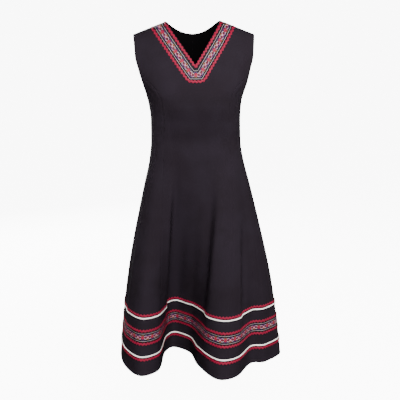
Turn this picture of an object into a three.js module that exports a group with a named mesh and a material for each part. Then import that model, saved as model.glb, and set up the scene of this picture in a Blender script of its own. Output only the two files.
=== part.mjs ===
// A sleeveless pinafore dress with a V neck, princess seams and a full, folded skirt.
// Patterned ribbon and scalloped braid edge the neck, and bands of ribbon, braid and
// white piping run round the hem. It keeps the hollow form that it has when worn.
//
// Millimetres, +Z up. The front faces -Y and +X is the wearer's left. The origin lies
// between the shoulder seams, where the wearer's shoulders carry the dress.
import * as THREE from "three";

// Driving dimensions
const CLOTH = 1.6; // thickness of the dress cloth
const SEAM_GAP = 0.3; // between the edges of two pieces
const LIFT = 0.35; // between a trim and the cloth under it
const BRAID_THICK = 1.4;
const RIBBON_THICK = 0.9;
const PIPING_THICK = 2.4;

const SHOULDER = 12; // level of the shoulder seam
const UNDERARM = -238;
const HEM = -1115;
const FOLDS_START = -400; // the skirt's folds grow from here to the hem
const FOLDS_EASE = 0.15; // how softly they start

const NECK_HALF = 84; // from the centre to where the neck meets the shoulder seam
const NECK_LEAN = -4; // how far the neck's top lies to the wearer's left of the V's point
const NECK_DEPTH = 126; // the front V
const BACK_NECK_DEPTH = 44;
const SHOULDER_ROUND = 40; // softens the slope of the shoulders across the neck
const LEVEL_REACH = 88; // from the centre line to where a ring is as high as its level

// The armhole's edge meets the princess seam at this level, and the seam keeps to
// one line of cloth below the other.
const NOTCH = -140;
const SKIRT_SEAM = -880;

// Trims round the hem: the height of each one's edges above the hem
const HEM_TRIMS = [
  { name: "hem_braid_low", low: 44, high: 55, thick: BRAID_THICK, slot: "braid" },
  { name: "hem_piping_low", low: 55, high: 61.5, thick: PIPING_THICK, slot: "piping" },
  { name: "hem_ribbon_braid_low", low: 93, high: 104, thick: BRAID_THICK, slot: "braid" },
  { name: "hem_ribbon", low: 104, high: 135, thick: RIBBON_THICK, slot: "ribbon" },
  { name: "hem_ribbon_braid_high", low: 135, high: 146, thick: BRAID_THICK, slot: "braid" },
  { name: "hem_piping_high", low: 178.5, high: 185, thick: PIPING_THICK, slot: "piping" },
  { name: "hem_braid_high", low: 185, high: 196, thick: BRAID_THICK, slot: "braid" },
];

// Trims along the neck: the distance of each one's edges from the V's edge
const NECK_TRIMS = [
  { name: "neck_braid_inner", near: 0.6, far: 11.4, thick: BRAID_THICK, slot: "braid" },
  { name: "neck_ribbon", near: 11.7, far: 41.2, thick: RIBBON_THICK, slot: "ribbon" },
  { name: "neck_braid_outer", near: 41.5, far: 52.3, thick: BRAID_THICK, slot: "braid" },
];
const POINT_FLAT = 3; // how much further below the V their flat ends lie than beside it
const SHOULDER_CLEARANCE = 0.6; // before the shoulder seam

// The body's rings. level: height at LEVEL_REACH from the centre line. half: half width.
// front, back: depth before and behind the side seams. shift: the lean to the wearer's
// left. droop: slope of the shoulders. square: 2 is an ellipse, more is squarer.
const SECTIONS = [
  { level: 12, half: 205, front: 0, back: 0, shift: 0, droop: 0.4, square: 2.3 },
  { level: 9, half: 205, front: 20, back: 20, shift: 0, droop: 0.396, square: 2.3 },
  { level: 0, half: 206, front: 42, back: 42, shift: 0, droop: 0.38, square: 2.3 },
  { level: -25, half: 207, front: 68, back: 66, shift: 0, droop: 0.335, square: 2.3 },
  { level: -70, half: 208, front: 92, back: 88, shift: 0, droop: 0.255, square: 2.3 },
  { level: -120, half: 200, front: 110, back: 104, shift: 0, droop: 0.16, square: 2.3 },
  { level: -170, half: 181, front: 125, back: 112, shift: 1, droop: 0.07, square: 2.3 },
  { level: -215, half: 159, front: 133, back: 110, shift: 2, droop: 0.015, square: 2.3 },
  { level: -240, half: 151.5, front: 131, back: 106, shift: 3, droop: 0, square: 2.3 },
  { level: -300, half: 146, front: 114, back: 94, shift: 5, droop: 0, square: 2.3 },
  { level: -370, half: 147, front: 99, back: 82, shift: 6, droop: 0, square: 2.3 },
  { level: -430, half: 155, front: 101, back: 90, shift: 8, droop: 0, square: 2.2 },
  { level: -520, half: 177, front: 112, back: 110, shift: 10, droop: 0, square: 2.1 },
  { level: -620, half: 201, front: 126, back: 132, shift: 13, droop: 0, square: 2.05 },
  { level: -720, half: 224, front: 139, back: 150, shift: 15, droop: 0, square: 2 },
  { level: -860, half: 251, front: 146, back: 172, shift: 19, droop: 0, square: 2 },
  { level: -1000, half: 270, front: 158, back: 190, shift: 22, droop: 0, square: 2 },
  { level: HEM, half: 283, front: 190, back: 205, shift: 24, droop: 0, square: 2 },
];

// The hem seen from above, a row for each crest, trough and flank of the folds.
// turn: degrees round the body from the centre front, towards the wearer's left.
const HEM_FOLDS = [
  { turn: -90, x: -258, y: 11 },
  { turn: -70, x: -237, y: -133 },
  { turn: -52, x: -178, y: -206 },
  { turn: -41, x: -129, y: -171 },
  { turn: -23, x: -101, y: -23 },
  { turn: -12, x: -70, y: 8 },
  { turn: -2, x: -21, y: -32 },
  { turn: 12, x: 4, y: -131 },
  { turn: 32, x: 73, y: -246 },
  { turn: 45, x: 132, y: -221 },
  { turn: 57, x: 179, y: -138 },
  { turn: 76, x: 240, y: -118 },
  { turn: 90, x: 299, y: -45 },
  { turn: 104, x: 257, y: 63 },
  { turn: 119, x: 254, y: 142 },
  { turn: 134, x: 196, y: 214 },
  { turn: 149, x: 126, y: 152 },
  { turn: 162, x: 84, y: 122 },
  { turn: 176, x: 38, y: 166 },
  { turn: 190, x: -14, y: 232 },
  { turn: 204, x: -72, y: 186 },
  { turn: 218, x: -118, y: 138 },
  { turn: 233, x: -172, y: 160 },
  { turn: 247, x: -222, y: 178 },
  { turn: 259, x: -250, y: 110 },
];

// Half width of the dress at the armhole's edge
const ARMHOLE = [
  { level: 12, x: 193 },
  { level: 0, x: 192 },
  { level: -25, x: 190 },
  { level: -70, x: 187 },
  { level: -120, x: 177 },
  { level: -170, x: 166 },
  { level: -215, x: 155.5 },
  { level: -238, x: 151.9 },
];

// Where the princess seams run below the armhole, in degrees from the centre
const PRINCESS = [
  { level: -158, turn: 54 },
  { level: -185, turn: 45 },
  { level: -230, turn: 42 },
  { level: -385, turn: 44 },
  { level: -560, turn: 41 },
  { level: SKIRT_SEAM, turn: 37 },
  { level: HEM, turn: 37 },
];

// Columns of facets across half of the front centre, and across the other panels
const FRONT_COLUMNS = 11;
const FRONT_SIDE_COLUMNS = 10;
const BACK_SIDE_COLUMNS = 9;
const BACK_COLUMNS = 9;

const rad = THREE.MathUtils.degToRad;
const deg = THREE.MathUtils.radToDeg;

// A smooth curve through a table's column that doesn't overshoot its rows.
function curve(rows, at, column) {
  const table = [...rows].sort((a, b) => a[at] - b[at]);
  const u = table.map((r) => r[at]);
  const v = table.map((r) => r[column]);
  const last = u.length - 1;
  const rise = u.slice(1).map((next, i) => (v[i + 1] - v[i]) / (next - u[i]));
  const slope = u.map((_, i) => {
    if (i === 0) return rise[0];
    if (i === last) return rise[last - 1];
    if (rise[i - 1] * rise[i] <= 0) return 0;
    const before = 2 * (u[i + 1] - u[i]) + (u[i] - u[i - 1]);
    const after = u[i + 1] - u[i] + 2 * (u[i] - u[i - 1]);
    return (before + after) / (before / rise[i - 1] + after / rise[i]);
  });
  return (x) => {
    const inside = THREE.MathUtils.clamp(x, u[0], u[last]);
    let i = 0;
    while (i < last - 1 && inside >= u[i + 1]) i++;
    const h = u[i + 1] - u[i];
    return hermite((inside - u[i]) / h, v[i], v[i + 1], slope[i] * h, slope[i + 1] * h);
  };
}

function hermite(t, from, to, leave, arrive) {
  const t2 = t * t;
  const t3 = t2 * t;
  return (
    (2 * t3 - 3 * t2 + 1) * from +
    (t3 - 2 * t2 + t) * leave +
    (3 * t2 - 2 * t3) * to +
    (t3 - t2) * arrive
  );
}

// A smooth closed curve through the table of folds, for one of its columns.
function closedCurve(rows, column) {
  const count = rows.length;
  const row = (i) => rows[((i % count) + count) % count][column];
  const span = (i) => {
    const from = rows[((i % count) + count) % count].turn;
    const to = rows[(((i + 1) % count) + count) % count].turn;
    return (to - from + 360) % 360;
  };
  const slope = (i) => {
    const before = (row(i) - row(i - 1)) / span(i - 1);
    const after = (row(i + 1) - row(i)) / span(i);
    return (before * span(i) + after * span(i - 1)) / (span(i - 1) + span(i));
  };
  return (turn) => {
    let rest = (((turn - rows[0].turn) % 360) + 360) % 360;
    let i = 0;
    while (i < count - 1 && rest >= span(i)) {
      rest -= span(i);
      i++;
    }
    const h = span(i);
    return hermite(rest / h, row(i), row(i + 1), slope(i) * h, slope(i + 1) * h);
  };
}

const section = {};
for (const column of ["half", "front", "back", "shift", "droop", "square"]) {
  section[column] = curve(SECTIONS, "level", column);
}
const hemX = closedCurve(HEM_FOLDS, "x");
const hemY = closedCurve(HEM_FOLDS, "y");
const armholeX = curve(ARMHOLE, "level", "x");

const power = (value, exponent) => Math.sign(value) * Math.abs(value) ** exponent;

// Height of a ring at a distance from the centre line: the shoulders slope down.
function heightAt(x, level) {
  const reach = Math.hypot(x, SHOULDER_ROUND) - Math.hypot(LEVEL_REACH, SHOULDER_ROUND);
  return level - section.droop(level) * reach;
}

// A point of the body's ring, before the folds.
function ringPoint(turn, level) {
  const across = Math.sin(rad(turn));
  const along = Math.cos(rad(turn));
  const bend = 2 / section.square(level);
  const depth = along > 0 ? section.front(level) : section.back(level);
  const x = section.half(level) * power(across, bend);
  const y = -depth * power(along, bend);
  return new THREE.Vector3(x + section.shift(level), y, heightAt(x, level));
}

// How far the folds have grown at a level, from 0 to 1.
function foldGrowth(level) {
  const t = Math.max(0, (FOLDS_START - level) / (FOLDS_START - HEM));
  return (Math.hypot(t, FOLDS_EASE) - FOLDS_EASE) / (Math.hypot(1, FOLDS_EASE) - FOLDS_EASE);
}

// The outer surface of the dress. Front and back stand apart by the seam gap, which
// opens the side and shoulder seams.
function surface(turn, level) {
  const point = ringPoint(turn, level);
  const growth = foldGrowth(level);
  const plain = ringPoint(turn, HEM);
  point.x += growth * (hemX(turn) - plain.x);
  point.y += growth * (hemY(turn) - plain.y);
  point.y -= (Math.sign(Math.cos(rad(turn))) * SEAM_GAP) / 2;
  return point;
}

const TURN_STEP = 0.4;
const LEVEL_STEP = 0.5;

function alongRing(turn, level) {
  return surface(turn + TURN_STEP, level).sub(surface(turn - TURN_STEP, level));
}

// The outward direction. On the shoulder seam it is upright, so that front and back
// meet with parallel edges.
function outward(turn, level) {
  const top = Math.min(level + LEVEL_STEP, SHOULDER);
  const up = surface(turn, top).sub(surface(turn, level - LEVEL_STEP));
  const out = alongRing(turn, level).cross(up);
  if (level === SHOULDER) out.y = 0;
  return out.normalize();
}

// The turn at a distance from the centre line of a ring.
function turnAtX(x, level) {
  const share = Math.min(1, Math.abs(x) / section.half(level));
  return Math.sign(x) * deg(Math.asin(share ** (section.square(level) / 2)));
}

function solve(low, high, misses) {
  let a = low;
  let b = high;
  const sign = Math.sign(misses(low));
  for (let i = 0; i < 40; i++) {
    const middle = (a + b) / 2;
    if (Math.sign(misses(middle)) === sign) a = middle;
    else b = middle;
  }
  return (a + b) / 2;
}

// Height of the neck's edge at a distance from the centre line. side is 1 to the
// wearer's left and -1 to the right.
const neckHalf = (side) => NECK_HALF + side * NECK_LEAN;
const frontNeckHeight = (x, side) => SHOULDER - NECK_DEPTH * (1 - x / neckHalf(side));
const backNeckHeight = (x, side) => SHOULDER - BACK_NECK_DEPTH * (1 - (x / neckHalf(side)) ** 2);

// The turn at which a row of points meets the neck's edge, or 0 below the neck.
function neckTurn(level, edgeHeight, side) {
  const misses = (x) => heightAt(x, level) - edgeHeight(x, side);
  if (misses(0) <= 0) return 0;
  return turnAtX(solve(0, 1.2 * NECK_HALF, misses), level);
}

// The level at which a neck's edge crosses the centre line.
const neckPoint = (edge) => solve(-200, 0, (level) => heightAt(0, level) - edge(0, 1));
const V_POINT = neckPoint(frontNeckHeight);
const BACK_POINT = neckPoint(backNeckHeight);

// Levels of the rows of points, down from the shoulder. The last ones are the edges of
// the hem's trims, so that a trim lies on the cloth's own facets.
const ABOVE_NOTCH = [12, 9, 2, -12, -30, -60, -90];
const BELOW_NOTCH = [NOTCH, -147, -157, -172, -190, -208, -222, -232, UNDERARM];
const SKIRT_LEVELS = [-268, -305, -345, -385, -430, -480, -540, -610, -680, -755, -835];
const TRIM_LEVELS = [...new Set(HEM_TRIMS.flatMap((trim) => [HEM + trim.high, HEM + trim.low]))];
const LOWER_LEVELS = [...BELOW_NOTCH, ...SKIRT_LEVELS, ...TRIM_LEVELS.sort((a, b) => b - a), HEM];
const FRONT_LEVELS = [...ABOVE_NOTCH, V_POINT, ...LOWER_LEVELS];
const BACK_LEVELS = [12, 9, 2, -12, -30, BACK_POINT, -75, -108, ...LOWER_LEVELS];

const armTurn = (level) => (level <= UNDERARM ? 90 : turnAtX(armholeX(level), level));
const princessRows = [{ level: NOTCH, turn: armTurn(NOTCH) }, ...PRINCESS];
const princessTurn = curve(princessRows, "level", "turn");

// Moves an edge along the ring by a number of half gaps.
function moved(turn, level, halves) {
  const perDegree = alongRing(turn, level).length() / (2 * TURN_STEP);
  return turn + (halves * SEAM_GAP) / 2 / perDegree;
}

// A centre panel's outer edge: the armhole down to the notch, then the princess seam.
// At the notch it makes room for the side panel's tip, which lies on the armhole.
function centreOuter(level) {
  if (level > NOTCH) return armTurn(level);
  return moved(princessTurn(level), level, level === NOTCH ? -2 : -1);
}

const sideInner = (level) => Math.min(moved(princessTurn(level), level, 1), armTurn(level));
const sideOuter = (level) => Math.min(armTurn(level), 90 - 1e-6);

// A net of points, each with its outward direction. Patches and polygons that share
// points are joined there.
class Net {
  constructor() {
    this.spots = new Map();
    this.points = [];
    this.normals = [];
    this.faces = [];
  }

  spot(point, normal) {
    const key = point.toArray().map((value) => value.toFixed(4)).join();
    if (!this.spots.has(key)) {
      this.spots.set(key, this.points.length);
      this.points.push(point);
      this.normals.push(normal);
    }
    return this.spots.get(key);
  }

  // Rows run from the top down, and each one in the direction of the turn.
  patch(rows) {
    const grid = rows.map((row) => row.map(([point, normal]) => this.spot(point, normal)));
    for (let r = 0; r + 1 < grid.length; r++) {
      for (let c = 0; c + 1 < grid[r].length; c++) {
        const [a, b] = [grid[r][c], grid[r][c + 1]];
        const [d, e] = [grid[r + 1][c], grid[r + 1][c + 1]];
        this.face(a, d, e);
        this.face(a, e, b);
      }
    }
    return this;
  }

  polygon(corners) {
    const spots = corners.map(([point, normal]) => this.spot(point, normal));
    for (let i = 1; i + 1 < spots.length; i++) this.face(spots[0], spots[i], spots[i + 1]);
  }

  face(a, b, c) {
    if (a !== b && b !== c && a !== c) this.faces.push([a, b, c]);
  }

  // The closed solid between two offsets from the net, along its normals.
  solid(inner, outer) {
    const count = this.points.length;
    const position = [];
    for (const offset of [outer, inner]) {
      this.points.forEach((point, i) => {
        position.push(...point.clone().addScaledVector(this.normals[i], offset).toArray());
      });
    }
    const index = [];
    const open = new Map();
    for (const [a, b, c] of this.faces) {
      index.push(a, b, c, a + count, c + count, b + count);
      for (const [from, to] of [[a, b], [b, c], [c, a]]) {
        if (!open.delete(`${to},${from}`)) open.set(`${from},${to}`, [from, to]);
      }
    }
    for (const [from, to] of open.values()) {
      index.push(to, from, from + count, to, from + count, to + count);
    }
    const geometry = new THREE.BufferGeometry();
    geometry.setAttribute("position", new THREE.Float32BufferAttribute(position, 3));
    geometry.setIndex(index);
    geometry.computeVertexNormals();
    return geometry;
  }
}

// A point of the surface with its outward direction.
const spotAt = (turn, level) => [surface(turn, level), outward(turn, level)];

// Rows of points between two edges. real makes the true turn from one measured from the
// nearest centre line.
function rowsBetween(levels, columns, inner, outer, real) {
  return levels.map((level) => {
    const from = inner(level);
    const to = outer(level);
    const row = [];
    for (let c = 0; c <= columns; c++) {
      row.push(spotAt(real(from + ((to - from) * c) / columns), level));
    }
    return row;
  });
}

const reversed = (rows) => rows.map((row) => [...row].reverse());

// The front's centre panel: two halves, joined below the V's point.
function frontCentre() {
  const net = new Net();
  for (const side of [1, -1]) {
    const inner = (level) => neckTurn(level, frontNeckHeight, side);
    const real = (turn) => side * turn;
    const rows = rowsBetween(FRONT_LEVELS, FRONT_COLUMNS, inner, centreOuter, real);
    net.patch(side > 0 ? rows : reversed(rows));
  }
  return net;
}

// One half of the back's centre panel, up to the centre-back seam.
function backCentre(side) {
  const inner = (level) => Math.max(neckTurn(level, backNeckHeight, side), moved(0, level, 1));
  const real = (turn) => side * (180 - turn);
  const rows = rowsBetween(BACK_LEVELS, BACK_COLUMNS, inner, centreOuter, real);
  return new Net().patch(side > 0 ? reversed(rows) : rows);
}

// A side panel of the front or back, from its princess seam to the side seam.
function sidePanel(side, isFront) {
  const columns = isFront ? FRONT_SIDE_COLUMNS : BACK_SIDE_COLUMNS;
  const real = (turn) => (isFront ? side * turn : side * (180 - turn));
  const rows = rowsBetween(LOWER_LEVELS, columns, sideInner, sideOuter, real);
  const forwards = isFront === side > 0;
  return new Net().patch(forwards ? rows : reversed(rows));
}

// The turns of the panels' columns of points all round the skirt, from one side of the
// centre back to the other.
function skirtTurns() {
  const seam = princessTurn(HEM);
  const stretches = [
    { from: 0, to: seam, columns: FRONT_COLUMNS },
    { from: seam, to: 90, columns: FRONT_SIDE_COLUMNS },
    { from: 90, to: 180 - seam, columns: BACK_SIDE_COLUMNS },
    { from: 180 - seam, to: 180, columns: BACK_COLUMNS },
  ];
  const half = [];
  for (const { from, to, columns } of stretches) {
    for (let c = 1; c <= columns; c++) half.push(from + ((to - from) * c) / columns);
  }
  const otherHalf = half.slice(0, -1).map((turn) => -turn);
  return [180, ...otherHalf.reverse(), 0, ...half];
}

// A trim round the hem: the cloth's own points, moved out later.
function hemTrim({ low, high }) {
  const edges = [HEM + high - SEAM_GAP / 2, HEM + low + SEAM_GAP / 2];
  return new Net().patch(edges.map((level) => skirtTurns().map((turn) => spotAt(turn, level))));
}

// How far a point lies from the V's edge, seen from the front, and how far below the
// V's point, less what the trims' flat ends gain on it.
const V_FOOT = SHOULDER - NECK_DEPTH;
function fromEdge({ x, z }) {
  const half = neckHalf(Math.sign(x));
  return (Math.abs(x) * NECK_DEPTH - (z - V_FOOT) * half) / Math.hypot(half, NECK_DEPTH);
}
const fromPoint = ({ z }) => V_FOOT - z - POINT_FLAT;

const ON_LINE = 0.03; // a corner this close to a line of cutting lies on it

// Cuts a convex polygon to where measure is positive. Each corner is a point and its
// normal.
function cut(corners, measure) {
  const sides = corners.map(([point]) => {
    const side = measure(point);
    return Math.abs(side) < ON_LINE ? 0 : side;
  });
  const kept = [];
  corners.forEach(([point, normal], i) => {
    const next = (i + 1) % corners.length;
    if (sides[i] >= 0) kept.push([point, normal]);
    if (sides[i] * sides[next] >= 0) return;
    const share = sides[i] / (sides[i] - sides[next]);
    const [nextPoint, nextNormal] = corners[next];
    kept.push([
      point.clone().lerp(nextPoint, share),
      normal.clone().lerp(nextNormal, share).normalize(),
    ]);
  });
  return sides.some((side) => side > 0) ? kept : [];
}

// A trim along the neck: the part of the front's facets between two distances from the
// V. The lines of both kinds cut every facet that they cross, so that the parts match.
function neckTrim(front, { near, far }) {
  const net = new Net();
  for (const face of front.faces) {
    let corners = face.map((i) => [front.points[i], front.normals[i]]);
    corners = cut(corners, (point) => -point.y - SHOULDER_CLEARANCE);
    corners = cut(corners, (point) => far - fromEdge(point));
    corners = cut(corners, (point) => far - fromPoint(point));
    const below = cut(corners, (point) => fromPoint(point) - near);
    const above = cut(corners, (point) => near - fromPoint(point));
    net.polygon(cut(below, (point) => fromEdge(point) - near));
    net.polygon(cut(below, (point) => near - fromEdge(point)));
    net.polygon(cut(above, (point) => fromEdge(point) - near));
  }
  return net;
}

// Finishes
const material = (color, roughness, metalness = 0) =>
  new THREE.MeshStandardMaterial({ color, roughness, metalness });
const FINISHES = {
  cloth: material(0x262328, 0.85),
  braid: material(0xb32546, 0.7),
  ribbon: material(0x5a2c44, 0.65),
  piping: material(0xf1ece8, 0.4),
};

const dress = new THREE.Group();
function add(name, geometry, slot) {
  const mesh = new THREE.Mesh(geometry, FINISHES[slot]);
  mesh.name = name;
  dress.add(mesh);
}

const front = frontCentre();
add("front_centre", front.solid(-CLOTH, 0), "cloth");
for (const [side, hand] of [[1, "left"], [-1, "right"]]) {
  add(`front_side_${hand}`, sidePanel(side, true).solid(-CLOTH, 0), "cloth");
  add(`back_side_${hand}`, sidePanel(side, false).solid(-CLOTH, 0), "cloth");
  add(`back_centre_${hand}`, backCentre(side).solid(-CLOTH, 0), "cloth");
}
for (const trim of NECK_TRIMS) {
  add(trim.name, neckTrim(front, trim).solid(LIFT, LIFT + trim.thick), trim.slot);
}
for (const trim of HEM_TRIMS) {
  add(trim.name, hemTrim(trim).solid(LIFT, LIFT + trim.thick), trim.slot);
}

export default dress;
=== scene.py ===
# %% [markdown]
# # A black pinafore dress with woven ribbon, scalloped braid and white piping
#
# This notebook dresses a finished CAD frame. The frame holds the real sizes: seven cut
# pieces of cloth and ten trims, each a thin wall. Here every piece is made again as fine
# cloth with its folds, seams, weave and stitching, in the place that the frame gives it.

# %% Load the frame
import math

import bmesh
import bpy
import numpy as np
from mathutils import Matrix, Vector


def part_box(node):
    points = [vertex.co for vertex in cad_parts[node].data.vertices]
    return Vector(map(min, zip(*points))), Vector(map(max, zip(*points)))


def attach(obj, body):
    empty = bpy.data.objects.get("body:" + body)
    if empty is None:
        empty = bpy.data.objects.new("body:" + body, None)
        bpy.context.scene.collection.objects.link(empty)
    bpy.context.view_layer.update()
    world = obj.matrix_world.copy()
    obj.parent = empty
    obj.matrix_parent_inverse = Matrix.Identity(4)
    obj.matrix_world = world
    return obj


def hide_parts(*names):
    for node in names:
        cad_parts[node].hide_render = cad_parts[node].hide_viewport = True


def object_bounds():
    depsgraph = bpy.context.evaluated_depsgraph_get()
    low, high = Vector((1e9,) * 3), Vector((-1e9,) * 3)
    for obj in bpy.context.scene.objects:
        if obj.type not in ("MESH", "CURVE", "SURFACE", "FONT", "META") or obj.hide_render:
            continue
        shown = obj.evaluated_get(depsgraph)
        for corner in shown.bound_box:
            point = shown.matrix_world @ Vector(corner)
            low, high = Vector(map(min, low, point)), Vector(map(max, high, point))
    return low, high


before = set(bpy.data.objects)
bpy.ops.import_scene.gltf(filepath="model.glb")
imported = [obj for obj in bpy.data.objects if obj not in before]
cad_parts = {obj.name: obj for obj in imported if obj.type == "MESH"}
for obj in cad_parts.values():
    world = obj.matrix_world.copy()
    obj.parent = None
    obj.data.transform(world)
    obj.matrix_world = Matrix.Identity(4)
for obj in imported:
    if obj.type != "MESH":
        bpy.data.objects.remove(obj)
cad_box = [list(corner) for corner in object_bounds()]
MM = 0.001
print("frame:", len(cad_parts), "nodes, box", cad_box)

# %% [markdown]
# ## Camera
#
# A dress is photographed from a few metres away with a long lens, so that its hem isn't
# drawn larger than its shoulders. The camera could be placed by eye, but an angle, a
# distance and a point to look at are easier to read and to change.

# %% Camera
LOOK_AT = np.array([0.020, 0.0, -0.575])
AROUND = math.radians(-3)
ABOVE = math.radians(15.04)
DISTANCE = 2.752
LENS_MM = 73.75
SENSOR_MM = 36


def direction(around, above):
    """The way out from the dress, at an angle round it and one above it, in radians."""
    return np.array([
        math.sin(around) * math.cos(above),
        -math.cos(around) * math.cos(above),
        math.sin(above),
    ])


def add_object(name, data):
    """Puts an object into the scene."""
    made = bpy.data.objects.new(name, data)
    bpy.context.collection.objects.link(made)
    return made


camera_data = bpy.data.cameras.new("camera")
camera_data.lens = LENS_MM
camera_data.sensor_width = SENSOR_MM
camera = add_object("camera", camera_data)
camera.location = LOOK_AT + DISTANCE * direction(AROUND, ABOVE)
camera.rotation_euler = (math.pi / 2 - ABOVE, 0, AROUND)
bpy.context.scene.camera = camera
print("camera at", [round(value, 3) for value in camera.location])

# %% [markdown]
# ## Light
#
# Black cloth is lit from the front by one large soft box, above and a little to the right
# of the camera. The fronts of the folds stay evenly lit, and their steep sides and the
# hollows above the hem go dark. Two smaller lights, one on either side, keep the outline
# from going dark too, without reaching between the folds, and one more lights the back.

# %% Studio light
def soft_light(name, around, above, distance, width, watts):
    """Adds a square light that faces the dress from two angles in degrees."""
    data = bpy.data.lights.new(name, "AREA")
    data.size = width
    data.energy = watts
    light = add_object(name, data)
    outwards = direction(math.radians(around), math.radians(above))
    light.location = LOOK_AT + distance * outwards
    aim = add_object(name + "_aim", None)
    aim.location = LOOK_AT
    track = light.constraints.new("TRACK_TO")
    track.target = aim
    track.track_axis = "TRACK_NEGATIVE_Z"
    track.up_axis = "UP_Y"


# Name, degrees round the dress and above it, distance and width in metres, and watts.
LIGHTS = (
    ("front_soft_box", 6, 28, 2.2, 1.8, 150),
    ("right_light", 92, 22, 2.3, 1.0, 46),
    ("left_light", -92, 22, 2.3, 1.0, 34),
    ("back_light", 200, 15, 2.7, 1.8, 120),
)
for row in LIGHTS:
    soft_light(*row)
WORLD_GLOW = 0.03
world = bpy.data.worlds.new("pale studio")
bpy.context.scene.world = world
world.use_nodes = True
background = world.node_tree.nodes["Background"]
background.inputs["Color"].default_value = (1, 1, 1, 1)
background.inputs["Strength"].default_value = WORLD_GLOW
print(len(LIGHTS), "soft lights and a world of strength", WORLD_GLOW)

# %% [markdown]
# ## Colours and nodes
#
# Colours are written as the hex values that a picture editor shows. Blender works in
# linear light, so one function turns them over. One more function adds a shader node,
# sets it up and links it, which keeps the materials short.

# %% Colour and node helpers
def colour(hex_code):
    """Turns an sRGB hex colour into linear light, with an alpha of 1."""
    channels = [int(hex_code[i:i + 2], 16) / 255 for i in (1, 3, 5)]
    linear = [c / 12.92 if c <= 0.04045 else ((c + 0.055) / 1.055) ** 2.4 for c in channels]
    return (*linear, 1.0)


def node(tree, kind, *inputs, **named):
    """Adds a node. Its inputs are linked or set in order, or by name, where _ is a space.

    A name with a small first letter isn't an input but one of the node's properties.
    """
    made = tree.nodes.new("ShaderNode" + kind)
    sockets = list(enumerate(inputs))
    for name, value in named.items():
        if name[0].isupper():
            sockets.append((name.replace("_", " "), value))
        else:
            setattr(made, name, value)
    for place, value in sockets:
        if isinstance(value, bpy.types.Node):
            value = value.outputs[0]
        if isinstance(value, bpy.types.NodeSocket):
            tree.links.new(value, made.inputs[place])
        else:
            made.inputs[place].default_value = value
    return made


def new_material(name, **sockets):
    """Starts a material, and sets values on its shader's own sockets."""
    material = bpy.data.materials.new(name)
    material.use_nodes = True
    tree = material.node_tree
    shader = tree.nodes["Principled BSDF"]
    for socket, value in sockets.items():
        shader.inputs[socket.replace("_", " ")].default_value = value
    return material, tree, shader


def set_stops(ramp, *stops):
    """Sets the stops of a colour ramp, each a position and a hex colour."""
    for stop, (position, hex_code) in zip(ramp.elements, stops):
        stop.position = position
        stop.color = colour(hex_code)


def connect(tree, shader, base, raised):
    """Gives the shader its finished colour and its relief."""
    tree.links.new(base.outputs[0], shader.inputs["Base Color"])
    tree.links.new(raised.outputs[0], shader.inputs["Normal"])


print("a middle grey of #808080 is", [round(c, 3) for c in colour("#808080")])

# %% [markdown]
# ## Floor
#
# The floor lies where the wearer would stand. A studio sweep is evenly pale because it has
# lights of its own. Here the paint glows instead, and it is left out of the bounced light,
# so that it doesn't light the dress from below.

# %% Floor
FLOOR_BELOW_HEM = 0.28
FLOOR_SIZE = 200.0


def mesh_of(name, bm):
    """Turns a finished bmesh into a mesh."""
    mesh = bpy.data.meshes.new(name)
    bm.to_mesh(mesh)
    bm.free()
    return mesh


pale_floor = new_material(
    "painted pale floor", Base_Color=colour("#f2f2f2"), Roughness=0.9,
    Emission_Strength=9.0, Emission_Color=colour("#ffffff"),
)[0]
bm = bmesh.new()
bmesh.ops.create_grid(bm, x_segments=1, y_segments=1, size=FLOOR_SIZE)
floor = add_object("floor", mesh_of("floor", bm))
floor.location.z = cad_box[0][2] - FLOOR_BELOW_HEM
floor.data.materials.append(pale_floor)
floor.visible_diffuse = False
floor.visible_glossy = False
print("floor at", round(floor.location.z, 3))

# %% [markdown]
# ## Crepe
#
# The dress is cut from a smooth black polyester crepe. Its tightly twisted yarns give it
# a fine, pebbled matte face that turns a little purple in the light. The pebbles are 0.5 mm
# apart, drawn by noise, and they only show close up; their pits carry painted shade.
# The wrong side, seen through the neck, is painted near black: painted shade of the inside.

# %% Crepe material
CREPE_PEBBLE_MM = 0.5
CREPE_PEBBLE_HIGH_MM = 0.12
CREPE_TONE_MM = 90  # the shade drifts over this distance, as piece-dyed cloth does


def crepe_material(name, dark, light):
    """Crepe between two close shades. A noise of scale 1000 / d has lumps of d mm."""
    material, tree, shader = new_material(name, Roughness=0.8, Specular_IOR_Level=0.02)
    place = node(tree, "TexCoord").outputs["Object"]
    tone = node(tree, "TexNoise", place, Scale=1000 / CREPE_TONE_MM, Detail=2.0)
    pebble = node(tree, "TexNoise", place, Scale=1000 / CREPE_PEBBLE_MM, Detail=2.0)
    shades = node(tree, "ValToRGB", tone)
    set_stops(shades.color_ramp, (0.35, dark), (0.65, light))
    # Painted shade: the pebble noise that raises the relief also darkens its pits and lightens its
    # tops.
    pebble_shade = node(tree, "MapRange", pebble, From_Min=0.3, From_Max=0.7, To_Min=0.86, To_Max=1.12)
    pebble_shaded = node(tree, "VectorMath", shades, operation="SCALE", Scale=pebble_shade)
    raised = node(tree, "Bump", Strength=0.5, Distance=CREPE_PEBBLE_HIGH_MM * MM, Height=pebble)
    connect(tree, shader, pebble_shaded, raised)
    return material


crepe = crepe_material("black polyester crepe", "#1c171c", "#1f1a20")
# The wrong side is painted near black: painted shade for the inside of the dress, seen through the
# neck.
crepe_inside_painted_shade = crepe_material("wrong side of the crepe in painted shade", "#060506", "#080708")
print("made", crepe.name, "and", crepe_inside_painted_shade.name)

# %% [markdown]
# ## Braid, piping and thread
#
# The braid is crimson rayon, plaited so that its strands cross in slanting ribs. The
# piping is a white satin strip rolled round a cord, shiny and smooth. Both follow their
# own length, so their patterns read the piece's UV map, which is laid out in metres:
# U runs along the trim and V round it.

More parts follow.
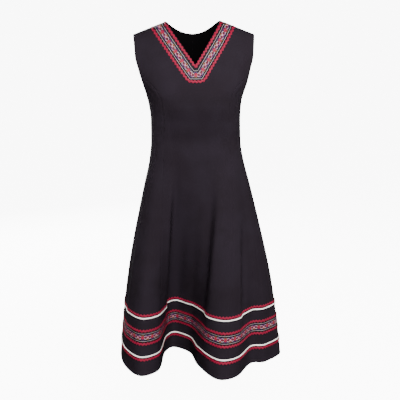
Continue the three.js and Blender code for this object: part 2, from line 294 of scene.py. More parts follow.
# %% Braid, piping and thread materials
BRAID_RIB_MM = 1.4
SATIN_RIB_MM = 0.8
THREAD_TWIST_MM = 0.6
FUZZ_MM = 2.5
WAVE_RADIANS = 20  # a wave texture of scale 1 turns by this much in a metre


def wave_scale(period_mm):
    """The scale of a wave texture whose ribs are this far apart."""
    return math.tau / WAVE_RADIANS / (period_mm * MM)


def ribbed_material(name, low, high, rib_mm, slant, depth_mm, **sockets):
    """A trim with slanting ribs, whose grooves are painted in the darker colour as painted shade,
    mottled by fibre fuzz.
    """
    material, tree, shader = new_material(name, **sockets)
    uv = node(tree, "UVMap")
    turned = node(tree, "Mapping", uv, Rotation=(0, 0, math.radians(slant)))
    ribs = node(
        tree, "TexWave", turned, Scale=wave_scale(rib_mm), Distortion=0.6, Detail=1.0,
        wave_profile="SIN",
    )
    fuzz = node(tree, "TexNoise", uv, Scale=1000 / FUZZ_MM, Detail=3.0)
    height = node(tree, "Math", ribs.outputs["Fac"], fuzz, operation="MULTIPLY")
    shades = node(tree, "ValToRGB", height)
    # Painted shade: the low colour fills the grooves between the ribs, and the high one their
    # tops.
    set_stops(shades.color_ramp, (0.0, low), (0.6, high))
    raised = node(tree, "Bump", Strength=0.8, Distance=depth_mm * MM, Height=ribs)
    connect(tree, shader, shades, raised)
    return material


# Each trim's first colour is the painted shade in its rib grooves.
braid_red = ribbed_material(
    "crimson rayon braid", "#620920", "#980f36", BRAID_RIB_MM, slant=52, depth_mm=0.25,
    Roughness=0.5, Specular_IOR_Level=0.12,
)
piping_white = ribbed_material(
    "white satin piping", "#efe6dc", "#fdfaf6", SATIN_RIB_MM, slant=45, depth_mm=0.04,
    Roughness=0.3, Specular_IOR_Level=0.6,
)
thread_red = ribbed_material(
    "crimson sewing thread", "#5e0818", "#8c1028", THREAD_TWIST_MM, slant=40, depth_mm=0.08,
    Roughness=0.45,
)
print("made", braid_red.name, piping_white.name, thread_red.name)

# %% [markdown]
# ## The woven ribbon
#
# The ribbon is a jacquard: its flowers are woven from coloured floats over a black
# ground. It could be painted as a picture, but nodes keep it sharp from any distance.
# Each motif is a masked ellipse or a petalled ring, in millimetres, on a strip that is
# mirrored again and again along its length. The roses and leaves are plain folk motifs.

# %% Ribbon motifs
REPEAT_MM = 34.0
RIBBON_THREAD_MM = 0.45
MIX_UNDER, MIX_OVER, MIX_RESULT = 6, 7, 2  # where a Mix node keeps its colours


def inside_ellipse(tree, place, x, y, long, wide, turn):
    """1 in an ellipse at x, y, with its long axis turned by some degrees, else 0."""
    unit = node(
        tree, "Mapping", place, Location=(x, y, 0), Rotation=(0, 0, math.radians(turn)),
        Scale=(long / 2, wide / 2, 1), vector_type="TEXTURE",
    )
    away = node(tree, "VectorMath", unit, operation="LENGTH").outputs["Value"]
    return node(tree, "Math", away, 1.0, operation="LESS_THAN")


def inside_rose(tree, place, x, y, radius, petals, depth, turn):
    """1 in a flower of round petals, else 0."""
    moved = node(tree, "VectorMath", place, (x, y, 0), operation="SUBTRACT")
    away = node(tree, "VectorMath", moved, operation="LENGTH").outputs["Value"]
    parts = node(tree, "SeparateXYZ", moved)
    angle = node(tree, "Math", parts.outputs["Y"], parts.outputs["X"], operation="ARCTAN2")
    phase = node(tree, "Math", angle, petals, math.radians(turn), operation="MULTIPLY_ADD")
    lobes = node(tree, "Math", phase, operation="COSINE")
    edge = node(tree, "Math", lobes, depth, radius, operation="MULTIPLY_ADD")
    return node(tree, "Math", away, edge, operation="LESS_THAN")


def paint(tree, under, mask, hex_code):
    """Lays one thread colour over what is woven so far, where the mask is 1."""
    made = node(tree, "Mix", Factor=mask, data_type="RGBA")
    tree.links.new(under, made.inputs[MIX_UNDER])
    made.inputs[MIX_OVER].default_value = colour(hex_code)
    return made.outputs[MIX_RESULT]


# Motifs from the ground up, in millimetres and degrees. The strip's mirror lines are at
# x = 0 and x = 17. A leaf is x, y, long, wide, turn and colour.
LEAVES = (
    (0.0, 0.0, 40.0, 17.0, 0, "#14101f"),
    (8.4, 5.6, 8.0, 2.2, 14, "#4a3a68"),
    (8.8, -5.8, 8.2, 2.2, -16, "#3f3163"),
    (6.8, 4.2, 6.4, 2.3, 38, "#9c7f86"),
    (7.0, -3.8, 6.6, 2.3, -40, "#a58b80"),
    (11.6, 4.4, 6.0, 2.0, -44, "#8e5f78"),
    (11.8, -4.2, 6.0, 2.0, 40, "#9c7f86"),
    (9.4, 0.4, 5.2, 2.0, 78, "#7c1c34"),
    (14.2, 6.2, 4.4, 1.6, 20, "#5a3f74"),
    (14.4, -6.4, 4.4, 1.6, -22, "#8c6a3c"),
    (2.6, 6.8, 4.2, 1.5, -14, "#8c6a3c"),
    (3.0, -6.8, 4.4, 1.5, 12, "#5a3f74"),
)
# A ring of petals is x, y, radius, petals, their depth, turn and colour.
ROSES = (
    (0.0, 0.2, 5.4, 5, 0.9, 90, "#7a0c26"),
    (0.0, 0.2, 3.7, 5, 0.8, 270, "#a22c48"),
    (0.0, 0.2, 2.0, 5, 0.4, 90, "#600a1e"),
    (17.0, -0.6, 4.2, 6, 0.8, 0, "#8c1030"),
    (17.0, -0.6, 2.5, 6, 0.6, 180, "#b89aa0"),
    (17.0, -0.6, 1.2, 6, 0.3, 0, "#5c1038"),
)
print(len(LEAVES), "leaves and", len(ROSES), "rings of petals")

# %% Ribbon material
EDGE_LINE_MM = 11.9  # from the ribbon's middle to the pale line near each edge
EDGE_LINE_WIDE_MM = 0.9
RIBBON_RELIEF_MM = 0.12
FLOAT_SLANT = 30


def ribbon_material():
    """The woven ribbon. Its UV map grows to millimetres and snaps to whole threads."""
    material, tree, shader = new_material(
        "jacquard ribbon of viscose on black", Roughness=0.5, Specular_IOR_Level=0.1
    )
    uv = node(tree, "UVMap")
    grown = node(tree, "VectorMath", uv, operation="SCALE", Scale=1000)
    step = (RIBBON_THREAD_MM, RIBBON_THREAD_MM, 1)
    threads = node(tree, "VectorMath", grown, step, operation="SNAP")
    along = node(tree, "SeparateXYZ", threads)
    mirrored = node(tree, "Math", along.outputs["X"], REPEAT_MM / 2, operation="PINGPONG")
    place = node(tree, "CombineXYZ", mirrored, along.outputs["Y"])
    woven = node(tree, "RGB")
    woven.outputs[0].default_value = colour("#0e0b0e")
    painted = woven.outputs[0]
    for *leaf, hex_code in LEAVES:
        painted = paint(tree, painted, inside_ellipse(tree, place, *leaf), hex_code)
    for *rose, hex_code in ROSES:
        painted = paint(tree, painted, inside_rose(tree, place, *rose), hex_code)
    across = node(tree, "Math", along.outputs["Y"], operation="ABSOLUTE")
    line = node(tree, "Math", across, EDGE_LINE_MM, EDGE_LINE_WIDE_MM / 2, operation="COMPARE")
    painted = paint(tree, painted, line, "#a3989a")
    floats = node(tree, "Mapping", grown, Rotation=(0, 0, math.radians(FLOAT_SLANT)))
    rib_scale = wave_scale(2 * RIBBON_THREAD_MM) * MM
    ribs = node(tree, "TexWave", floats, Scale=rib_scale, Distortion=0.3, Detail=1.0)
    worn = node(tree, "TexNoise", grown, Scale=1.1, Detail=2.0)
    shade = node(tree, "MapRange", worn, From_Min=0.3, From_Max=0.7, To_Min=0.8, To_Max=1.12)
    shaded = node(tree, "VectorMath", painted, operation="SCALE", Scale=shade)
    raised = node(tree, "Bump", Strength=0.6, Distance=RIBBON_RELIEF_MM * MM, Height=ribs)
    connect(tree, shader, shaded, raised)
    return material


ribbon_woven = ribbon_material()
print("made", ribbon_woven.name, "with", len(ribbon_woven.node_tree.nodes), "nodes")

# %% [markdown]
# ## The shape that the dress keeps when worn
#
# A dress could be draped by a cloth simulation over a body, but here the frame's shape is
# already known. It is a stack of rings, each a rounded oval, and below the waist every
# ring leans more and more towards one wavy hem line. The tables hold the ovals and the
# hem's crests and troughs in millimetres, and smooth curves run through their columns.

# %% Tables of the form
# Each ring falls towards the armholes by its droop. It is an ellipse where square is 2.
SECTION_COLUMNS = ("level", "half", "front", "back", "shift", "droop", "square")
SECTIONS = np.array([
    (12, 205, 0, 0, 0, 0.4, 2.3),
    (9, 205, 20, 20, 0, 0.396, 2.3),
    (0, 206, 42, 42, 0, 0.38, 2.3),
    (-25, 207, 68, 66, 0, 0.335, 2.3),
    (-70, 208, 92, 88, 0, 0.255, 2.3),
    (-120, 200, 110, 104, 0, 0.16, 2.3),
    (-170, 181, 125, 112, 1, 0.07, 2.3),
    (-215, 159, 133, 110, 2, 0.015, 2.3),
    (-240, 151.5, 131, 106, 3, 0, 2.3),
    (-300, 146, 114, 94, 5, 0, 2.3),
    (-370, 147, 99, 82, 6, 0, 2.3),
    (-430, 155, 101, 90, 8, 0, 2.2),
    (-520, 177, 112, 110, 10, 0, 2.1),
    (-620, 201, 126, 132, 13, 0, 2.05),
    (-720, 224, 139, 150, 15, 0, 2),
    (-860, 251, 146, 172, 19, 0, 2),
    (-1000, 270, 158, 190, 22, 0, 2),
    (-1115, 283, 190, 205, 24, 0, 2),
])
# The hem line, seen from above: a turn in degrees from the centre front, then x and y.
HEM_FOLDS = np.array([
    (-90, -258, 11), (-70, -237, -133), (-52, -178, -206), (-41, -129, -171),
    (-23, -101, -23), (-12, -70, 8), (-2, -21, -32), (12, 4, -131), (32, 73, -246),
    (45, 132, -221), (57, 179, -138), (76, 240, -118), (90, 299, -45), (104, 257, 63),
    (119, 254, 142), (134, 196, 214), (149, 126, 152), (162, 84, 122), (176, 38, 166),
    (190, -14, 232), (204, -72, 186), (218, -118, 138), (233, -172, 160),
    (247, -222, 178), (259, -250, 110),
])
# The armhole's edge, as a level and a half width.
ARMHOLE = np.array([
    (12, 193), (0, 192), (-25, 190), (-70, 187), (-120, 177), (-170, 166), (-215, 155.5),
    (-238, 151.9),
])
# The princess seam below the armhole, as a level and a turn.
PRINCESS = np.array([
    (-158, 54), (-185, 45), (-230, 42), (-385, 44), (-560, 41), (-880, 37), (-1115, 37),
])
# Levels: the shoulder seam, the top of the princess seam, the foot of the armhole, the hem.
SHOULDER = 12
NOTCH = -140
UNDERARM = -238
HEM = round(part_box("front_centre")[0][2] / MM)
NECK_HALF = {1: 80, -1: 88}  # to the wearer's left and right of the V's point
NECK_DEPTH = 126
BACK_NECK_DEPTH = 44
LEVEL_REACH = 88  # how far from the middle a ring is at its own level
SHOULDER_ROUND = 40
FOLDS_START = -400
FOLDS_EASE = 0.15
SEAM_LAP_MM = 0.1  # so that no light comes through a seam
print("hem at", HEM, "mm")

# %% Smooth curves
def hermite(t, start, end, leave, arrive):
    """The smooth step from start to end, with the slopes that it leaves and arrives at."""
    t2, t3 = t * t, t * t * t
    return ((2 * t3 - 3 * t2 + 1) * start + (t3 - 2 * t2 + t) * leave
            + (3 * t2 - 2 * t3) * end + (t3 - t2) * arrive)


def through(knots, values, slopes):
    """A curve through the knots with the given slopes."""
    run = np.diff(knots)

    def curve(x):
        inside = np.clip(x, knots[0], knots[-1])
        i = np.clip(np.searchsorted(knots, inside, side="right") - 1, 0, len(run) - 1)
        share = (inside - knots[i]) / run[i]
        return hermite(share, values[i], values[i + 1], slopes[i] * run[i], slopes[i + 1] * run[i])

    return curve


def steady(knots, values):
    """A smooth curve that never overshoots its rows."""
    order = np.argsort(knots)
    knots, values = knots[order], values[order]
    run = np.diff(knots)
    rise = np.diff(values) / run
    slopes = np.zeros(len(knots))
    slopes[0], slopes[-1] = rise[0], rise[-1]
    for i in range(1, len(knots) - 1):
        if rise[i - 1] * rise[i] > 0:
            before, after = 2 * run[i] + run[i - 1], run[i] + 2 * run[i - 1]
            slopes[i] = (before + after) / (before / rise[i - 1] + after / rise[i])
    return through(knots, values, slopes)


def closed(turns, values):
    """A smooth curve that comes back to its start after a full turn."""
    run = np.diff(np.append(turns, turns[0] + 360))
    rise = np.diff(np.append(values, values[0])) / run
    slopes = (np.roll(rise, 1) * run + rise * np.roll(run, 1)) / (run + np.roll(run, 1))
    knots = np.append(turns, turns[0] + 360)
    curve = through(knots, np.append(values, values[0]), np.append(slopes, slopes[0]))
    return lambda turn: curve((turn - turns[0]) % 360 + turns[0])


section = {
    name: steady(SECTIONS[:, 0], SECTIONS[:, i])
    for i, name in enumerate(SECTION_COLUMNS) if name != "level"
}
hem_x = closed(HEM_FOLDS[:, 0], HEM_FOLDS[:, 1])
hem_y = closed(HEM_FOLDS[:, 0], HEM_FOLDS[:, 2])
armhole_x = steady(ARMHOLE[:, 0], ARMHOLE[:, 1])
print("half width at the waist:", round(float(section["half"](-385)), 1), "mm")

# %% The plain form
def signed_power(value, exponent):
    """A power that keeps the sign of its value."""
    return np.sign(value) * np.abs(value) ** exponent


def height_at(x, level):
    """A ring isn't level over the shoulders: it falls towards the armholes."""
    reach = np.hypot(x, SHOULDER_ROUND) - np.hypot(LEVEL_REACH, SHOULDER_ROUND)
    return level - section["droop"](level) * reach


def ring_point(turn, level):
    """A point of an oval ring. turn is in degrees from the centre front."""
    across, along = np.sin(np.radians(turn)), np.cos(np.radians(turn))
    bend = 2 / section["square"](level)
    depth = np.where(along > 0, section["front"](level), section["back"](level))
    x = section["half"](level) * signed_power(across, bend)
    y = -depth * signed_power(along, bend)
    return np.stack([x + section["shift"](level), y, height_at(x, level)], -1)


def form(turn, level):
    """A point of the dress with its folds, in millimetres."""
    turn, level = np.broadcast_arrays(np.asarray(turn, float), np.asarray(level, float))
    point = ring_point(turn, level)
    start = np.maximum(0, (FOLDS_START - level) / (FOLDS_START - HEM))
    grown = (np.hypot(start, FOLDS_EASE) - FOLDS_EASE) / (math.hypot(1, FOLDS_EASE) - FOLDS_EASE)
    plain = ring_point(turn, np.full_like(level, HEM))
    point[..., 0] += grown * (hem_x(turn) - plain[..., 0])
    point[..., 1] += grown * (hem_y(turn) - plain[..., 1])
    return point


TURN_STEP = 0.4
LEVEL_STEP = 0.5


def outward(turn, level):
    """The direction that the cloth faces, from its neighbours along and down."""
    turn, level = np.broadcast_arrays(np.asarray(turn, float), np.asarray(level, float))
    along = form(turn + TURN_STEP, level) - form(turn - TURN_STEP, level)
    up = form(turn, np.minimum(level + LEVEL_STEP, SHOULDER)) - form(turn, level - LEVEL_STEP)
    out = np.cross(along, up)
    return out / np.linalg.norm(out, axis=-1, keepdims=True)


print("centre front of the hem:", form(0, HEM).round(1))

# %% [markdown]
# ## Creases
#
# Cloth that hangs from the shoulders is never quite smooth. Soft troughs run down from the
# bust, pull towards the armholes and gather at the waist before the skirt's folds open.
# Each one is placed from its start to its end, with its own width and depth. A
# skirt fold also has a sharper side, where the cloth turns over its crest: a turn-over
# raises the crest's side of its line and sinks the other. A slow waver is added, so that
# no stretch of cloth is a perfect oval.

# %% Creases and waver
# Turn and level of the start, then of the end, and width, depth and turn-over in mm.
CREASES = (
    (-34, -250, -27, -420, 11, -1.6, 0),
    (-18, -300, -15, -450, 9, 0.9, 0),
    (30, -262, 27, -410, 10, -1.5, 0),
    (12, -330, 14, -470, 9, 0.8, 0),
    (-62, -170, -48, -225, 9, -1.5, 0),
    (60, -176, 47, -232, 9, -1.4, 0),
    (-72, -205, -60, -262, 8, 1.0, 0),
    (70, -210, 58, -262, 8, 0.9, 0),
    (-58, -340, -66, -440, 12, -1.3, 0),
    (60, -350, 66, -430, 12, -1.2, 0),
    (-84, -300, -80, -420, 10, 0.9, 0),
    (84, -320, 80, -430, 10, 0.8, 0),
    (-26, -430, -24, -1060, 17, -2.0, 10.0),
    (-13, -580, -11, -1130, 22, -7.0, -3.0),
    (20, -450, 14.5, -1070, 22, 0, -14.0),
    (52, -620, 49.5, -1010, 12, -10.0, 2.0),
    (-74, -620, -76, -1080, 14, -1.5, -2.0),
    (72, -640, 70, -1090, 12, -2.0, 0),
    (150, -250, 156, -420, 12, -1.7, 0),
    (-148, -262, -155, -430, 12, -1.6, 0),
    (170, -300, 172, -440, 9, 0.9, 0),
    (-168, -310, -171, -450, 9, 0.9, 0),
    (122, -180, 134, -240, 9, -1.4, 0),
    (-120, -186, -133, -244, 9, -1.4, 0),
    (118, -330, 112, -450, 12, -1.2, 0),
    (-116, -345, -111, -440, 12, -1.2, 0),
    (141, -460, 142, -1070, 15, -1.0, 4.5),
    (176, -480, 178, -1060, 15, -1.0, -5.5),
    (-150, -470, -151, -1080, 14, -1.2, 5.0),
    (-126, -560, -127, -1060, 12, -2.0, -3.0),
    (112, -600, 110, -1070, 12, -2.2, 2.0),
)
WAVER_MM = 0.3
FADE_POWER = 1.3
CALM_MM = 60  # the cloth is held smooth this far below the shoulder seam


def relief(turn, level):
    """How far creases and waver move the cloth out, in millimetres.

    The waver's waves have no common length, so that they never line up.
    """
    turn = (np.asarray(turn, float) + 180) % 360 - 180
    total = WAVER_MM * np.sin(np.radians(7 * turn) + level / 83) * np.sin(level / 61 + 0.9)
    total = total + 0.6 * WAVER_MM * np.sin(np.radians(13 * turn) - level / 47 + 2.1)
    for start_turn, start, end_turn, end, width, depth, over in CREASES:
        degree_mm = math.radians(1) * float(section["half"]((start + end) / 2))
        run = np.array([(end_turn - start_turn) * degree_mm, end - start])
        from_start = np.stack([(turn - start_turn) * degree_mm, level - start], -1)
        share = from_start @ run / (run @ run)
        aside = from_start[..., 0] * run[1] - from_start[..., 1] * run[0]
        aside = aside / np.hypot(*run) / width
        fade = np.clip(1 - (2 * share - 1) ** 2, 0, None) ** FADE_POWER
        turned_over = over * aside * np.exp((1 - aside ** 2) / 2)
        total = total + fade * (depth * np.exp(-aside ** 2) + turned_over)
    return total * np.clip((SHOULDER - level) / CALM_MM, 0, 1)


def cloth(turn, level, lift=0.0):
    """A point of the creased cloth, lifted off it by some millimetres."""
    return form(turn, level) + outward(turn, level) * (relief(turn, level) + lift)[..., None]


print(len(CREASES), "creases")

# %% [markdown]
# ## Edges of the cut pieces
#
# Each piece runs between two edges: the neck or a seam on the inside, and the armhole or
# a seam on the outside. An edge is the turn round the body at every level.

# %% Edges
def turn_at(x, level):
    """The turn of a ring's point that is x from the middle."""
    share = np.clip(np.abs(x) / section["half"](level), 0, 1)
    return np.sign(x) * np.degrees(np.arcsin(share ** (section["square"](level) / 2)))


HALVINGS = 40
PAST_NECK = 1.2  # in half widths of the neck, whose edge lies nearer
UNDER_NECKS = -200


def solve(misses, low, high):
    """Halves the stretch from low to high until misses changes sign there."""
    low, high = np.asarray(low, float), np.asarray(high, float)
    sign = np.sign(misses(low))
    for _ in range(HALVINGS):
        middle = (low + high) / 2
        same = np.sign(misses(middle)) == sign
        low, high = np.where(same, middle, low), np.where(same, high, middle)
    return (low + high) / 2


def front_neck(x, side):
    """The height of the V's edge, which is straight."""
    return SHOULDER - NECK_DEPTH * (1 - x / NECK_HALF[side])


def back_neck(x, side):
    """The height of the back neck's edge, which is round."""
    return SHOULDER - BACK_NECK_DEPTH * (1 - (x / NECK_HALF[side]) ** 2)


def neck_turn(level, edge, side):
    """The turn where a level meets the neck's edge, and 0 below the neck."""
    def misses(x):
        return height_at(x, level) - edge(x, side)

    x = solve(misses, np.zeros_like(level), np.full_like(level, PAST_NECK * NECK_HALF[side]))
    return np.where(misses(np.zeros_like(level)) <= 0, 0, turn_at(x, level))


def neck_point(edge):
    """The level of a neck's lowest point, on the centre line."""
    return float(solve(lambda level: height_at(0, level) - edge(0, 1), UNDER_NECKS, 0))


def arm_turn(level):
    """The turn of the armhole's edge, and below it of the side seam."""
    return np.where(level <= UNDERARM, 90, turn_at(armhole_x(level), level))


notch_row = [(NOTCH, float(arm_turn(np.array(float(NOTCH)))))]
princess_rows = np.concatenate([notch_row, PRINCESS])
princess_turn = steady(princess_rows[:, 0], princess_rows[:, 1])


def per_degree(turn, level):
    """How many millimetres of cloth lie in a degree of turn."""
    span = form(turn + TURN_STEP, level) - form(turn - TURN_STEP, level)
    return np.linalg.norm(span, axis=-1) / (2 * TURN_STEP)


def lapped(turn, level, halves):
    """Moves an edge inwards by some half laps, and outwards where halves is under 0."""
    return turn - halves * SEAM_LAP_MM / 2 / per_degree(turn, level)


V_POINT = neck_point(front_neck)
BACK_POINT = neck_point(back_neck)
print("the V ends at level", round(V_POINT, 1), "and the back neck at", round(BACK_POINT, 1))

# %% [markdown]
# ## From a flat grid to a piece of cloth
#
# Every cloth piece starts as a flat grid, which is then bent onto the form, much as a cut
# piece is laid on a dress form. The grid keeps its rows and columns, so its UV map
# can be laid out in real metres. A Solidify modifier gives it the cloth's thickness
# inwards, and a small Bevel rounds the cut edge.

# %% Grid helpers
MERGE_MM = 0.02


def bent_grid(bm, points, uv):
    """Adds a grid whose rows run upwards, and bends it onto a table of points in mm."""
    rows, columns = points.shape[:2]
    made = bmesh.ops.create_grid(bm, x_segments=columns - 1, y_segments=rows - 1, size=1)
    layer = bm.loops.layers.uv.verify()
    flat_uv = uv.reshape(-1, 2)
    flat_points = points.reshape(-1, 3) * MM
    order = {}
    for i, vertex in enumerate(made["verts"]):
        order[vertex] = i
        vertex.co = flat_points[i]
    for face in {face for vertex in made["verts"] for face in vertex.link_faces}:
        face.smooth = True
        for loop in face.loops:
            loop[layer].uv = flat_uv[order[loop.vert]]
    return made["verts"]


def in_columns(values, count):
    """Repeats one value a row in every column of a grid."""
    return np.repeat(values[:, None], count, axis=1)


def distances(points, axis):
    """How far each point lies along its row or column, in millimetres."""
    steps = np.linalg.norm(np.diff(points, axis=axis), axis=-1)
    first = np.zeros_like(np.take(steps, [0], axis=axis))
    return np.cumsum(np.concatenate([first, steps], axis=axis), axis=axis)


def place_piece(name, bm, material, nodes):
    """Turns a bmesh into a piece that rides on the dress in place of its CAD nodes."""
    piece = add_object(name, mesh_of(name, bm))
    piece.data.materials.append(material)
    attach(piece, "root")
    if nodes:
        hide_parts(*nodes)
    return piece


print("grid helpers ready")

# %% Wall and edge modifiers
CLOTH_MM = 1.2
EDGE_MM = 0.45


def give_wall(piece, thick_mm, edge_mm, inside=None):
    """Thickens a sheet inwards and rounds its cut edges. Its wrong side can take another material,
    such as crepe painted darker as shade.
    """
    wall = piece.modifiers.new("wall", "SOLIDIFY")
    wall.thickness = thick_mm * MM
    wall.offset = -1
    if inside:
        piece.data.materials.append(inside)
        wall.material_offset = 1
    edge = piece.modifiers.new("rounded edge", "BEVEL")
    edge.width = edge_mm * MM
    edge.segments = 2
    edge.limit_method = "ANGLE"
    edge.angle_limit = math.radians(50)


print("cloth", CLOTH_MM, "mm thick")

# %% [markdown]
# ## The seven cut pieces
#
# A seam pulls the cloth in along a narrow line, so near each seam a piece dips by under
# a millimetre, and a little more where the stitches gather it. Rows are spaced evenly
# down the cloth, not by height, because the shoulders are almost flat.

# %% Panels
ROW_MM = 6.0
FINE_ROWS = 3000
SPACING_TURN = 35.0  # the rows are spaced down this line of the cloth
CROWD = 0.7
SEAM_DIP_MM = 0.8
SEAM_SOFT_MM = 2.8
SEAM_BEGINS_MM = 12  # the dip grows to its full depth over this much of the seam


def levels_down(top, bottom, keep):
    """Levels that are evenly spaced down the cloth, with some kept exactly."""
    fine = np.linspace(top, bottom, FINE_ROWS)
    down = distances(form(SPACING_TURN, fine), 0)
    count = int(down[-1] / ROW_MM)
    levels = np.interp(np.linspace(0, down[-1], count), down, fine)
    for level in keep:
        levels[np.argmin(np.abs(levels - level))] = level
    return levels[::-1]


def crowded(count):
    """Shares from 0 to 1 that lie closer together near both ends."""
    even = np.linspace(0, 1, count)
    return even - CROWD * np.sin(2 * math.pi * even) / (2 * math.pi)


def seam_dip(levels, away, starts):
    """The dip beside a seam that starts at a level, uneven as stitches pull."""
    pull = 1 + 0.35 * np.sin(levels / 5.3) * np.sin(levels / 17 + 1) + 0.25 * np.sin(levels / 41)
    begins = np.clip((starts - levels) / SEAM_BEGINS_MM, 0, 1)
    return -SEAM_DIP_MM * (pull * begins)[:, None] * np.exp(-((away / SEAM_SOFT_MM) ** 2))


def panel_points(levels, columns, inner, outer, real, seams):
    """Points of a panel between two edges, dipped at its seams."""
    share = crowded(columns)
    start, end = inner(levels)[:, None], outer(levels)[:, None]
    turns = real(start + (end - start) * share)
    rows = in_columns(levels, columns)
    points = form(turns, rows)
    across = distances(points, 1)
    dip = np.zeros_like(across)
    for side, begins in seams:
        away = across if side == "inner" else across[:, -1:] - across
        dip += seam_dip(levels, away, begins)
    points = points + outward(turns, rows) * (relief(turns, rows) + dip)[..., None]
    points[..., 1] += np.sign(np.cos(np.radians(turns))) * SEAM_LAP_MM / 2
    return points


def sheet_uv(points):
    """A UV map in metres: across from the middle column, and up along it."""
    across = distances(points, 1)
    middle = points.shape[1] // 2
    up = distances(points[:, middle], 0)
    across = across - across[:, middle:middle + 1]
    return np.stack([across, in_columns(up, points.shape[1])], -1) * MM


def area_of(points):
    """Square metres of a grid of points, from the cross product of its diagonals."""
    rising = points[1:, 1:] - points[:-1, :-1]
    falling = points[1:, :-1] - points[:-1, 1:]
    return np.linalg.norm(np.cross(rising, falling), axis=-1).sum() / 2 * MM * MM


print("panel helpers ready")

# %% Front centre
def hang_panel(name, halves):
    """Makes a panel from one or two halves, and gives it the crepe and its wall."""
    bm = bmesh.new()
    for points in halves:
        bent_grid(bm, points, sheet_uv(points))
    bmesh.ops.remove_doubles(bm, verts=bm.verts, dist=MERGE_MM * MM)
    piece = place_piece(name + "_cloth", bm, crepe, [name])
    # The wrong side takes the crepe that is painted near black as painted shade.
    give_wall(piece, CLOTH_MM, EDGE_MM, crepe_inside_painted_shade)


FRONT_COLUMNS = 100  # in each half


def centre_outer(level):
    """A centre panel's outer edge: the armhole, and below it the princess seam.

    It crosses the seam by a whole lap at the seam's top, and by half a lap below.
    """
    below = lapped(princess_turn(level), level, np.where(level > NOTCH - 1, -2, -1))
    return np.where(level > NOTCH, arm_turn(level), below)


front_levels = levels_down(SHOULDER, HEM, (V_POINT, NOTCH))
front_halves = []
for side in (1, -1):
    points = panel_points(
        front_levels, FRONT_COLUMNS, lambda level: neck_turn(level, front_neck, side),
        centre_outer, lambda turn: side * turn, (("outer", NOTCH),),
    )
    front_halves.append(points if side > 0 else points[:, ::-1])
hang_panel("front_centre", front_halves)

# %% Back centre
BACK_COLUMNS = 62
BACK_SEAM_TOP = BACK_POINT - 4


def back_inner(level, side):
    """A back centre panel's inner edge: the neck, and below it the centre-back seam."""
    neck = neck_turn(level, back_neck, side)
    return np.where(neck > 0, neck, lapped(np.zeros_like(level), level, 1))


back_levels = levels_down(SHOULDER, HEM, (BACK_POINT, NOTCH))
for side, hand in ((1, "left"), (-1, "right")):
    points = panel_points(
        back_levels, BACK_COLUMNS, lambda level: back_inner(level, side), centre_outer,
        lambda turn: side * (180 - turn), (("inner", BACK_SEAM_TOP), ("outer", NOTCH)),
    )
    hang_panel(f"back_centre_{hand}", [points[:, ::-1] if side > 0 else points])

# %% Front and back sides
SIDE_COLUMNS = 90
SIDE_TOP = NOTCH - 0.5
HAIR_TURN = 0.01
JUST_UNDER_90 = 90 - 1e-6  # so that a front panel stays in front, and a back one behind
side_levels = levels_down(SIDE_TOP, HEM, (UNDERARM,))


def side_inner(level):
    """A side panel's inner edge: the princess seam, which starts at the armhole."""
    return np.minimum(lapped(princess_turn(level), level, 1), arm_turn(level) - HAIR_TURN)


def side_outer(level):
    """A side panel's outer edge: the armhole, and below it the side seam."""
    return np.minimum(arm_turn(level), JUST_UNDER_90)


# Name, its turn round the body, and whether its columns run backwards.
SIDE_PANELS = (
    ("front_side_left", lambda turn: turn, False),
    ("front_side_right", lambda turn: -turn, True),
    ("back_side_left", lambda turn: 180 - turn, True),
    ("back_side_right", lambda turn: turn - 180, False),
)
for name, real, backwards in SIDE_PANELS:
    points = panel_points(
        side_levels, SIDE_COLUMNS, side_inner, side_outer, real,
        (("inner", NOTCH), ("outer", UNDERARM)),
    )
    hang_panel(name, [points[:, ::-1] if backwards else points])

# %% [markdown]
# ## Ribbon round the hem
#
# A sewn-on ribbon lies on the cloth through every fold. It could be a copy of the cloth's
# faces, but a strip of its own has straight woven edges and a pattern that runs true.
# Its place along the ring is measured, so that the repeats fit round without a break.

# %% Strips round the skirt
LIFT_MM = 0.25
RING_POINTS = 6001


def ring_place(level):
    """A ring's length, and a function that finds points of the cloth beside the ring.

    A point lies at a distance along the ring from the centre back, and at a height
    above it, all in millimetres.
    """
    turns = np.linspace(-180, 180, RING_POINTS)
    run = distances(cloth(turns, np.full_like(turns, level)), 0)

    def place(along, up, lift):
        return cloth(np.interp(along, run, turns), level + up, lift)

    return run[-1], place


def trim_levels(node_name):
    """The height of the middle of a trim round the hem, and its width, from the frame."""
    low, high = (corner[2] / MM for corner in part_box(node_name))
    return (low + high) / 2, high - low


RIBBON_MM = 0.5
RIBBON_EDGE_MM = 0.15
RIBBON_LIFT_MM = LIFT_MM + 0.55
RIBBON_DOME_MM = 0.25
RIBBON_COLUMN_MM = 4.0
RIBBON_ROWS = 9


def ribbon_strip(bm, along, width, place, stretch):
    """Adds a ribbon whose middle is a little proud of its two woven edges."""
    up = np.linspace(-width / 2, width / 2, RIBBON_ROWS)
    rise = RIBBON_DOME_MM * (1 - (2 * up / width) ** 2)
    grid_along, grid_up = np.meshgrid(along, up)
    points = place(grid_along, grid_up, RIBBON_LIFT_MM + in_columns(rise, len(along)))
    uv = np.stack([grid_along * stretch, grid_up], -1) * MM
    bent_grid(bm, points, uv)
    return area_of(points)


ribbon_level, ribbon_width = trim_levels("hem_ribbon")
ring_length, on_ring = ring_place(ribbon_level)
repeats = round(ring_length / REPEAT_MM)
bm = bmesh.new()
along = np.linspace(0, ring_length, int(ring_length / RIBBON_COLUMN_MM))
stretch = repeats * REPEAT_MM / ring_length
area = ribbon_strip(bm, along, ribbon_width, on_ring, stretch)
bmesh.ops.remove_doubles(bm, verts=bm.verts, dist=MERGE_MM * MM)
hem_ribbon = place_piece("hem_ribbon_cloth", bm, ribbon_woven, ["hem_ribbon"])
give_wall(hem_ribbon, RIBBON_MM, RIBBON_EDGE_MM)
print("hem ribbon", round(ring_length), "mm round,", repeats, "repeats, area", round(area, 4))

